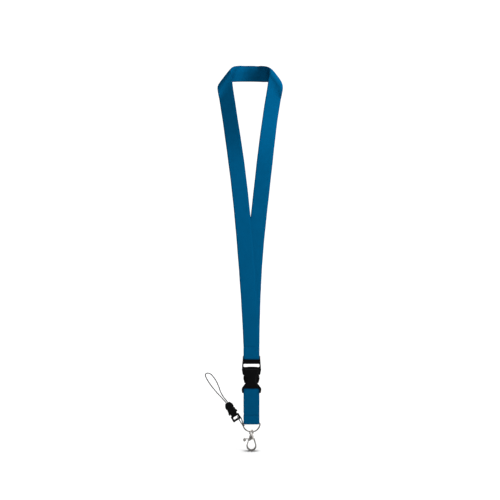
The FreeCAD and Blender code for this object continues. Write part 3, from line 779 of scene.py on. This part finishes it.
def evened(runs, step, passes):
    """Runs joined into one, with their points a step apart.

    Each pass moves every point half-way to the mean of its neighbours, which takes out the creases where two
    runs meet.
    """
    lines = np.concatenate([np.column_stack([run.middle, run.outward, run.lean, run.swell]) for run in runs])
    lines = respaced(lines, step)
    for _ in range(passes):
        lines[1:-1] += 0.5 * ((lines[:-2] + lines[2:]) / 2 - lines[1:-1])
    return Run(lines[:, 0:3], unit(lines[:, 3:6]), lines[:, 6], lines[:, 7])


def strap_surface(run, settings, stitch_z, nick=None):
    """The strap's shell over its middle line, its map in millimetres, and its length.

    The way across is the outer side crossed with the way along. A section runs half a width each way along
    across + lean * along. Its half thickness over the share x of its half width is
    t/2 * sqrt(1 - x^12) * (1 + 0.14 exp(-((x - 0.93) / 0.05)^2)), a flat strip with a corded selvedge. The
    row of stitches pulls it in, and slow waves keep it from lying dead flat. A nick is the height and the
    depth of a small dent in one edge.
    """
    middle = run.middle
    ahead = unit(np.gradient(middle, axis=0))
    across = unit(np.cross(ahead, run.outward))
    outward = np.cross(across, ahead)
    along = path_length(middle)

    share = np.sin(np.linspace(-pi / 2, pi / 2, 19))
    half = settings.thickness / 2 * np.sqrt(np.clip(1 - share**12, 0, 1))
    half = half * (1 + 0.14 * np.exp(-(((np.abs(share) - 0.93) / 0.05) ** 2)))
    share = np.concatenate([share, share[-2:0:-1]])
    half = np.concatenate([half, -half[-2:0:-1]])

    height = middle[:, 2] - stitch_z
    pinch = 1 - 0.45 * np.exp(-((height / 0.6) ** 2))
    wave = (0.07 * np.sin(along / 23.0) + 0.05 * np.sin(along / 9.7 + 1.3)) * smooth_step(height / 40.0)
    reach = settings.width / 2 * (1 + 0.004 * np.sin(along / 6.1))
    spread = share[None, :] * reach[:, None]
    if nick is not None:
        dent = nick[1] * np.exp(-(((middle[:, 2] - nick[0]) / 0.9) ** 2))
        side = np.sign(across[:, :1])
        near_edge = np.clip(-side * share - 0.8, 0, 1) * 5
        spread = spread + dent[:, None] * side * near_edge
    lift = half[None, :] * pinch[:, None] + wave[:, None] + run.swell[:, None] * (1 - share**4)[None, :]
    section = across + ahead * run.lean[:, None]
    points = middle[:, None, :] + section[:, None, :] * spread[:, :, None]
    points = points + outward[:, None, :] * lift[:, :, None]
    rows, columns = points.shape[:2]
    caps = [tuple(range(columns))[::-1], tuple(range((rows - 1) * columns, rows * columns))]
    faces = [*map(tuple, grid_faces(rows, columns)), *caps]
    uv = np.stack([spread, along[:, None] + run.lean[:, None] * spread], axis=2).reshape(-1, 2)
    return (points.reshape(-1, 3), faces), uv, along[-1]


def stitch_row(stitch_z, settings, length=1.7, pitch=2.25, radius=0.21, count=8):
    """Rows of lock stitches on the front and the back of the sewn layers.

    A stitch follows x = (l/2) t and sinks into the cloth as 0.3 |t|^4, for t from -1 to 1. Its two plies make
    its radius r * (0.94 + 0.12 |sin(a + 5 x)|).
    """
    share = np.linspace(-1, 1, 15)
    reach = settings.layer_step + settings.thickness / 2 - 0.04
    shells, maps = [], []
    for number in range(count):
        x = (number - (count - 1) / 2) * pitch + share * length / 2
        for front in (-1, 1):
            y = HANG_Y + front * (reach - 0.3 * np.abs(share) ** 4)
            path = np.stack([x, y, np.full(len(x), stitch_z)], axis=1)
            shell, uv = tube(path, radius, UP, around=10, relief=stitch_relief)
            shells.append(shell)
            maps.append(uv)
    return joined(*shells), np.concatenate(maps)


def stitch_relief(angle, distance):
    """The two plies of a thread."""
    return 0.94 + 0.12 * np.abs(np.sin(angle + 5 * distance))


def sewn_strap(name, run, stitch_z, settings, nick=None):
    """A strap and its stitches as pieces on the body of that name, and the strap's flat size in metres."""
    *skin, length = strap_surface(run, settings, stitch_z, nick)
    cloth = finish("petrol_webbing", webbing_material, settings)
    strap = skin_piece(f"{name}_webbing", skin, name, cloth, f"{name}_strap")
    thread = finish("petrol_thread", thread_material, settings)
    skin = stitch_row(stitch_z, settings)
    stitches = skin_piece(f"{name}_stitches", skin, name, thread, f"{name}_strap_stitching")
    return strap, stitches, (settings.width * MM, length * MM)


# ---------------------------------------------------------------- cords

# The control points of the lines that the cords follow, in metres.
TETHER_ROUTE = (
    (-0.01414, -0.01700, -0.45032),
    (-0.01190, -0.01665, -0.45420),
    (-0.00945, -0.01660, -0.45490),
    (-0.00945, -0.01340, -0.45490),
    (-0.01150, -0.01335, -0.45410),
    (-0.01170, -0.01310, -0.45060),
    (-0.01310, -0.01270, -0.44610),
    (-0.01490, -0.01260, -0.44340),
    (-0.01780, -0.01270, -0.44330),
    (-0.01800, -0.01730, -0.44350),
    (-0.01640, -0.01735, -0.44640),
    (-0.01417, -0.01700, -0.45026),
)

PHONE_CORD_ROUTE = (
    (-0.0303, -0.0150, -0.4293),
    (-0.0328, -0.0151, -0.4254),
    (-0.0381, -0.0153, -0.4197),
    (-0.0439, -0.0155, -0.4135),
    (-0.0495, -0.0154, -0.4070),
    (-0.0545, -0.0152, -0.4004),
    (-0.0586, -0.0149, -0.3938),
    (-0.0602, -0.0147, -0.3893),
    (-0.0579, -0.0145, -0.3871),
    (-0.0536, -0.0144, -0.3878),
    (-0.0495, -0.0144, -0.3917),
    (-0.0451, -0.0145, -0.3984),
    (-0.0421, -0.0146, -0.4053),
    (-0.0400, -0.0147, -0.4122),
    (-0.0359, -0.0148, -0.4188),
    (-0.0310, -0.0149, -0.4246),
    (-0.0290, -0.0150, -0.4286),
)


def spline_line(name, route, resolution=24):
    """The line of a NURBS spline whose control points are a route, in millimetres."""
    curve = bpy.data.curves.new(name, "CURVE")
    curve.dimensions = "3D"
    curve.resolution_u = resolution
    spline = curve.splines.new("NURBS")
    spline.points.add(len(route) - 1)
    spline.points.foreach_set("co", np.column_stack([np.array(route), np.ones(len(route))]).ravel())
    spline.order_u = 3
    spline.use_endpoint_u = True
    holder = bpy.data.objects.new(name, curve)
    bpy.context.scene.collection.objects.link(holder)
    line = evaluated_mesh(holder)
    places = mesh_shell(line)[0]
    bpy.data.objects.remove(holder)
    bpy.data.curves.remove(curve)
    bpy.data.meshes.remove(line)
    return places / MM


def braided(name, route, reference, settings):
    """A braided cord along a route: its line, its shell and its map.

    Two families of four strands swell its radius by |sin(2a + kd)| + |sin(2a - kd)| over the angle a and the
    distance d.
    """
    path = respaced(spline_line(name, route), 0.16)
    turn = 4 * pi / settings.braid_pitch

    def relief(angle, distance):
        crossing = np.abs(np.sin(2 * angle + turn * distance)) + np.abs(np.sin(2 * angle - turn * distance))
        return 0.92 + 0.08 * crossing

    return path, *tube(path, settings.radius, reference, relief=relief)


# ---------------------------------------------------------------- operators


class LANYARD_OT_neck_strap(bpy.types.Operator):
    """Make the neck strap: one length of webbing from its tail round the neck to its other end"""

    bl_idname = "lanyard.neck_strap"
    bl_label = "Neck strap"

    def execute(self, context):
        settings = context.scene.lanyard_webbing
        step = settings.layer_step
        left = Leg(-1, HANG_Y - step, settings, sway=0.6, swell=0.5)
        right = Leg(1, HANG_Y, settings, sway=1.3, swell=2.2)
        left_fold, right_fold = left.fold(), right.fold()
        under_stitches = (NECK_STITCH_Z - 6.0,)
        runs = [
            flat_run(step, (NECK_STITCH_Z + 4.0, NECK_STITCH_Z), 1),
            flat_run(step + 0.7, under_stitches, 1),
            wrap_run(FRAME_BAR, FRAME_BAR_RADIUS, pi, 0.0, settings),
            flat_run(-step - 0.7, under_stitches, -1),
            left.rise(),
            left_fold,
            band_run(left_fold, right_fold),
            right_fold.backwards(),
            right.rise().backwards(),
            flat_run(0.0, (NECK_STITCH_Z - 3.0,), -1),
        ]
        strap, stitches, flat = sewn_strap("neck", evened(runs, 0.5, 5), NECK_STITCH_Z, settings)
        return {"FINISHED"}


class LANYARD_OT_lower_strap(bpy.types.Operator):
    """Make the lower strap: a doubled loop between the buckle's bar and the ring's bar"""

    bl_idname = "lanyard.lower_strap"
    bl_label = "Lower strap"

    def execute(self, context):
        settings = context.scene.lanyard_webbing
        step = settings.layer_step
        wire = context.scene.lanyard_hardware.ring_wire
        under_stitches = (LOW_STITCH_Z - 5.0,)
        runs = [
            flat_run(step, (LOW_STITCH_Z + 4.0, LOW_STITCH_Z), 1),
            flat_run(step + 0.6, under_stitches, 1),
            wrap_run(RING_BAR, wire, pi, 0.0, settings),
            flat_run(-step - 0.6, under_stitches, -1),
            flat_run(-step, (LOW_STITCH_Z, LOW_STITCH_Z + 10.0), -1),
            wrap_run(HOUSING_BAR, HOUSING_BAR_RADIUS, 0.0, -pi, settings),
            flat_run(0.0, (LOW_STITCH_Z + 6.0, LOW_STITCH_Z - 3.0), 1),
        ]
        nick = (LOW_STITCH_Z + 2.0, 0.5)
        strap, stitches, flat = sewn_strap("lower", evened(runs, 0.4, 5), LOW_STITCH_Z, settings, nick)
        return {"FINISHED"}


class LANYARD_OT_buckle(bpy.types.Operator):
    """Make the large side-release buckle: its frame, its two prongs and its housing"""

    bl_idname = "lanyard.buckle"
    bl_label = "Buckle"

    def execute(self, context):
        plastic = finish("black_acetal", plastic_material, context.scene.lanyard_hardware)
        moulded = ("black_plastic", plastic)
        lip = outline([(-10.6, -2.3), (10.6, -2.3), (10.6, -3.4), (-10.6, -3.4)])
        lips = [at(prism(lip, near, near + 0.65), FRAME_BAR) for near in (-1.95, 1.3)]
        shell = joined(cad_shell("buckle_frame"), *lips)
        cast_piece("buckle_male_half", shell, 0.17, 3, "buckle_male", *moulded, "buckle_frame")
        for side, word in ((-1, "left"), (1, "right")):
            node = f"buckle_prong_{word}"
            root = joint_place(f"prong_{word}_squeeze")
            ribs = []
            for z in (-10.2, -11.4, -12.6, -13.8):
                line = [(side * 2.55, y, z) for y in np.linspace(-1.5, 1.5, 7)]
                ribs.append(at(tube(line, 0.22, UP, around=10)[0], root))
            shell = joined(cad_shell(node), *ribs)
            cast_piece(f"prong_{word}", shell, 0.13, 4, f"prong_{word}", *moulded, node)
        panel = ((8.6, 27.0), (8.0, 21.6), (4.9, 14.6, 6.0, 8.8), (8.2, 4.6))
        half_thick = high("buckle_housing")[1] - HANG_Y
        panels = raised_panels(panel, half_thick, 0.35, 0.5, HOUSING_BAR)
        shell = joined(cad_shell("buckle_housing"), *panels)
        cast_piece("buckle_female_half", shell, 0.22, 4, "buckle_female", *moulded, "buckle_housing")
        return {"FINISHED"}


class LANYARD_OT_ring(bpy.types.Operator):
    """Make the D ring: one wire with a straight bar, two small corners and a large arc"""

    bl_idname = "lanyard.ring"
    bl_label = "D ring"

    def execute(self, context):
        settings = context.scene.lanyard_hardware
        radius, corner = settings.ring_radius, settings.ring_corner
        corner_x = sqrt(radius * radius - 2 * radius * corner)
        reach = atan2(-corner, corner_x)
        bend = np.linspace(pi / 2, reach, 16)
        right = np.stack([corner_x + corner * np.cos(bend), -corner + corner * np.sin(bend)], axis=1)
        sweep = np.linspace(reach, -pi - reach, 120)[1:-1]
        arc = radius * np.stack([np.cos(sweep), np.sin(sweep)], axis=1)
        left = right[::-1] * [-1, 1]
        bar = np.stack([np.linspace(-corner_x, corner_x, 40)[1:-1], np.zeros(38)], axis=1)
        line = np.concatenate([right, arc, left, bar])
        path = np.stack([line[:, 0], np.zeros(len(line)), line[:, 1]], axis=1) + RING_BAR
        skin = tube(path, settings.ring_wire, BACK, around=28, closed=True)
        # The ring's nickel is a copy darkened to 0.6 of the plated colour: painted shade.
        wire = finish("drawn_nickel_painted_shade", nickel_material, settings, "drawn_nickel_painted_shade", 0.05, 0.6)
        skin_piece("wire_ring", skin, "ring", wire, "d_ring")
        return {"FINISHED"}


class LANYARD_OT_hook(bpy.types.Operator):
    """Make the trigger hook: its swivel eye, its body, its gate, the gate's pin and the gate's spring"""

    bl_idname = "lanyard.hook"
    bl_label = "Trigger hook"

    def execute(self, context):
        settings = context.scene.lanyard_hardware
        nickel = finish("plated_nickel", nickel_material, settings)
        steel = finish("plain_steel", nickel_material, settings, "plain_steel", 0.2)
        cast_piece("eye_casting", cad_shell("swivel_eye"), 0.12, 6, "eye", "nickel", nickel, "swivel_eye")

        window = ((-0.5, -4.3), (-0.9, -3.9), (-0.1, -1.9), (0.5, -1.4, 1.1, -1.9), (1.5, -3.8), (1.3, -4.3))
        recess = at(prism(outline(window, spacing=0.15), -5.0, -0.9), HOOK_TOP)
        shell = carved(cad_shell("hook_body"), recess)
        cast_piece("hook_casting", shell, 0.11, 6, "hook", "nickel", nickel, "hook_body")

        tab = ((-9.9, -3.6), (-8.6, -3.1, -7.4, -3.7), (-6.9, -5.2, -7.6, -6.6), (-9.0, -7.6, -10.3, -6.9))
        tab += ((-10.9, -5.2, -9.9, -3.6),)
        thumb = at(prism(outline(tab, spacing=0.15), -1.25, 1.25), HOOK_TOP)
        # The gate's nickel is a copy lightened by half again, which is painted light, on top of its rougher
        # satin finish.
        satin_painted_light = finish("satin_nickel_painted_light", nickel_material, settings, "satin_nickel_painted_light", 0.3, 1.5)
        shell = joined(cad_shell("hook_gate"), thumb)
        cast_piece("gate_lever", shell, 0.1, 6, "gate", "nickel", satin_painted_light, "hook_gate")

        shank, head, half = 0.5, 0.82, high("gate_pin")[1] - HANG_Y
        end = [(shank, 0.32), (head, 0.3), (head, 0.1), (head * 0.6, -0.08), (0.02, -0.12)]
        profile = [(r, -half + z) for r, z in reversed(end)] + [(r, half - z) for r, z in end]
        points, faces = lathed(profile)
        skin = ((points[:, [0, 2, 1]] + GATE_PIN, faces), None)
        skin_piece("gate_rivet", skin, "hook", steel, "gate_pin")

        turn = np.linspace(0, 2.25 * 2 * pi, 150)
        coil = np.stack([0.9 * np.cos(turn), 0.27 * turn / (2 * pi) + 0.27, 0.9 * np.sin(turn)], axis=1)
        skin = tube(coil + GATE_PIN, 0.12, BACK, around=12)
        skin_piece("gate_coil", skin, "hook", steel, "gate_spring")
        return {"FINISHED"}


class LANYARD_OT_tether(bpy.types.Operator):
    """Make the tether: the short lashing that ties the phone strap to the ring's corner"""

    bl_idname = "lanyard.tether"
    bl_label = "Tether"

    def execute(self, context):
        settings = context.scene.lanyard_cord
        _, *skin = braided("tether_line", TETHER_ROUTE, [0.81, 0, 0.59], settings)
        braid = finish("black_braid", cord_material, settings)
        piece = skin_piece("ring_tether", skin, None, braid, "tether_cord")
        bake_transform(piece)
        return {"FINISHED"}


class LANYARD_OT_phone_buckle(bpy.types.Operator):
    """Make the phone strap's small buckle: its frame, its two prongs and its housing"""

    bl_idname = "lanyard.phone_buckle"
    bl_label = "Phone strap buckle"

    def execute(self, context):
        plastic = finish("black_acetal", plastic_material, context.scene.lanyard_hardware)
        moulded = ("black_plastic", plastic)
        shell = cad_shell("mini_frame")
        cast_piece("mini_male_half", shell, 0.13, 4, "mini_male", *moulded, "mini_frame", MINI_TILT)
        swell = ((3.7, 12.8), (5.1, 13.0), (5.45, 14.6, 5.2, 16.6), (4.6, 17.6), (3.7, 17.6))
        for side, word in ((-1, "left"), (1, "right")):
            node = f"mini_prong_{word}"
            ridge = prism(outline([flipped(corner, side) for corner in swell]), -0.9, 0.9)
            shell = joined(cad_shell(node), at(ridge, MINI_PLACE, -MINI_TILT))
            cast_piece(f"mini_catch_{word}", shell, 0.09, 4, f"mini_{word}", *moulded, node, MINI_TILT)
        panel = ((3.0, 25.0), (4.2, 21.4), (3.1, 16.2, 3.6, 13.6), (4.3, 11.4))
        half_thick = high("mini_housing")[1] - HANG_Y
        panels = raised_panels(panel, half_thick, 0.2, 0.4, MINI_PLACE, -MINI_TILT)
        shell = joined(cad_shell("mini_housing"), *panels)
        cast_piece("mini_female_half", shell, 0.13, 4, "mini_female", *moulded, "mini_housing", MINI_TILT)
        return {"FINISHED"}


class LANYARD_OT_phone_cord(bpy.types.Operator):
    """Make the phone strap's cord loop and the knot that holds it in its housing"""

    bl_idname = "lanyard.phone_cord"
    bl_label = "Phone cord"

    def execute(self, context):
        settings = context.scene.lanyard_cord
        path, *skin = braided("phone_line", PHONE_CORD_ROUTE, BACK, settings)
        braid = finish("black_braid", cord_material, settings)
        loop = skin_piece("phone_loop", skin, "mini_female", braid, "phone_cord")
        turn = 2 * pi * np.arange(120) / 120
        across = 0.27 * (np.sin(turn) + 2 * np.sin(2 * turn))
        over = 0.27 * (np.cos(turn) - 2 * np.cos(2 * turn))
        knot = np.stack([across, 0.4 * -np.sin(3 * turn), over], axis=1)
        centre = (low("phone_cord_knot") + high("phone_cord_knot")) / 2
        skin = tube(knot + centre, 0.42, BACK, around=14, closed=True)
        stopper = skin_piece("stopper_knot", skin, "mini_female", braid, "phone_cord_knot")
        return {"FINISHED"}


def card(name, place, radius, grey, corners=48):
    """A flat, round, level card of the studio. Gloss on the metal takes the walls' shade, not the card's."""
    angle = 2 * pi * np.arange(corners) / corners
    points = np.stack([radius * np.cos(angle), radius * np.sin(angle), 0 * angle], axis=1)
    obj = bare_object(name, (points, [tuple(range(corners))]))
    obj.location = place
    constants = {"Base_Color": (grey, grey, grey, 1.0), "Roughness": 1.0, "Specular_IOR_Level": 0.0}
    obj.data.materials.append(new_material(name, **constants)[0])
    obj.visible_glossy = False
    return obj


def studio_world(settings):
    """A room with a bright ceiling, dim walls and a window to the right, that the camera sees as white."""
    world = bpy.data.worlds.new("studio")
    world.use_nodes = True
    room = Shade(world.node_tree)
    facing = room.node("ShaderNodeTexCoord", {}, {}, output=0)
    aside = room.node("ShaderNodeSeparateXYZ", {}, {0: facing}, output=0)
    upward = room.node("ShaderNodeSeparateXYZ", {}, {0: facing}, output=2)
    window = aside.above(0.62, 0.2) * 0.8
    ceiling = upward.above(0.64, 0.08) * settings.overhead
    light = ceiling + settings.walls * (1 + aside * 0.4) + window
    seen = room.node("ShaderNodeLightPath", {}, {})
    light = light + seen * (1.1 - light)
    background = world.node_tree.nodes["Background"].inputs
    background["Color"].default_value = (1.0, 1.0, 1.0, 1.0)
    world.node_tree.links.new(light.socket, background["Strength"])
    return world


def key_light(settings, floor):
    """A large soft lamp at the right. It doesn't light the floor, and the metal doesn't mirror it."""
    lamp = bpy.data.lights.new("key", "AREA")
    lamp.shape = "RECTANGLE"
    lamp.size, lamp.size_y = 0.5, 0.5
    lamp.spread = radians(50)
    lamp.energy = settings.key
    key = bpy.data.objects.new("key", lamp)
    aim = np.array([0.0, -0.015, -0.15])
    place = aim + np.array([1.02, -0.42, 0.2])
    key.location = place
    ahead = unit(aim - place)
    key.rotation_euler = (np.arccos(-ahead[2]), 0, atan2(ahead[1], ahead[0]) - pi / 2)
    key.visible_glossy = False
    unlit = bpy.data.collections.new("unlit_by_key")
    unlit.objects.link(floor)
    unlit.collection_objects[0].light_linking.link_state = "EXCLUDE"
    key.light_linking.receiver_collection = unlit
    return key


def front_camera(settings):
    """A level camera before the middle of the lanyard."""
    data = bpy.data.cameras.new("camera")
    data.lens = data.sensor_width * settings.distance / settings.view_width
    data.clip_end = 50.0
    camera = bpy.data.objects.new("camera", data)
    camera.location = (-0.0019, HANG_Y * MM - settings.distance, -0.2279)
    camera.rotation_euler = (pi / 2, 0, 0)
    return camera


class LANYARD_OT_stage(bpy.types.Operator):
    """Set up the pale floor, the soft studio light and the camera"""

    bl_idname = "lanyard.stage"
    bl_label = "Stage"

    def execute(self, context):
        scene = context.scene
        settings = scene.lanyard_stage
        floor_z = cad_box[0][2]
        floor = card("floor", (0, 0, floor_z), 30.0, 0.82)
        flag_lift, flag_radius = 0.0045, 0.0095
        flag = card("low_flag", (0, HANG_Y * MM, floor_z + flag_lift), flag_radius, 0.02)
        flag.visible_camera = False
        scene.world = studio_world(settings)
        scene.collection.objects.link(key_light(settings, floor))
        scene.camera = front_camera(settings)
        scene.collection.objects.link(scene.camera)
        scene.view_settings.view_transform = "Standard"
        return {"FINISHED"}


class LANYARD_PT_panel(bpy.types.Panel):
    """The lanyard's pieces and settings"""

    bl_idname = "LANYARD_PT_panel"
    bl_label = "Lanyard"
    bl_space_type = "VIEW_3D"
    bl_region_type = "UI"
    bl_category = "Lanyard"

    def draw(self, context):
        for operator in OPERATORS:
            self.layout.operator(operator.bl_idname)
        for name in SETTINGS:
            box = self.layout.box()
            group = getattr(context.scene, name)
            for prop in type(group).__annotations__:
                box.prop(group, prop)


OPERATORS = (
    LANYARD_OT_stage,
    LANYARD_OT_phone_cord,
    LANYARD_OT_tether,
    LANYARD_OT_neck_strap,
    LANYARD_OT_lower_strap,
    LANYARD_OT_buckle,
    LANYARD_OT_ring,
    LANYARD_OT_hook,
    LANYARD_OT_phone_buckle,
)

SETTINGS = {
    "lanyard_webbing": WebbingSettings,
    "lanyard_hardware": HardwareSettings,
    "lanyard_cord": CordSettings,
    "lanyard_stage": StageSettings,
}


def register():
    """Add the settings, the operators and the panel."""
    for name, group in SETTINGS.items():
        bpy.utils.register_class(group)
        setattr(bpy.types.Scene, name, PointerProperty(type=group))
    for operator in OPERATORS:
        bpy.utils.register_class(operator)
    bpy.utils.register_class(LANYARD_PT_panel)


def unregister():
    """Take them away again."""
    bpy.utils.unregister_class(LANYARD_PT_panel)
    for operator in reversed(OPERATORS):
        bpy.utils.unregister_class(operator)
    for name, group in SETTINGS.items():
        delattr(bpy.types.Scene, name)
        bpy.utils.unregister_class(group)


def main():
    """Make the whole lanyard and its stage."""
    register()
    bpy.ops.lanyard.stage()
    bpy.ops.lanyard.phone_cord()
    bpy.ops.lanyard.tether()
    bpy.ops.lanyard.neck_strap()
    bpy.ops.lanyard.lower_strap()
    bpy.ops.lanyard.buckle()
    bpy.ops.lanyard.ring()
    bpy.ops.lanyard.hook()
    bpy.ops.lanyard.phone_buckle()


if __name__ == "__main__":
    main()
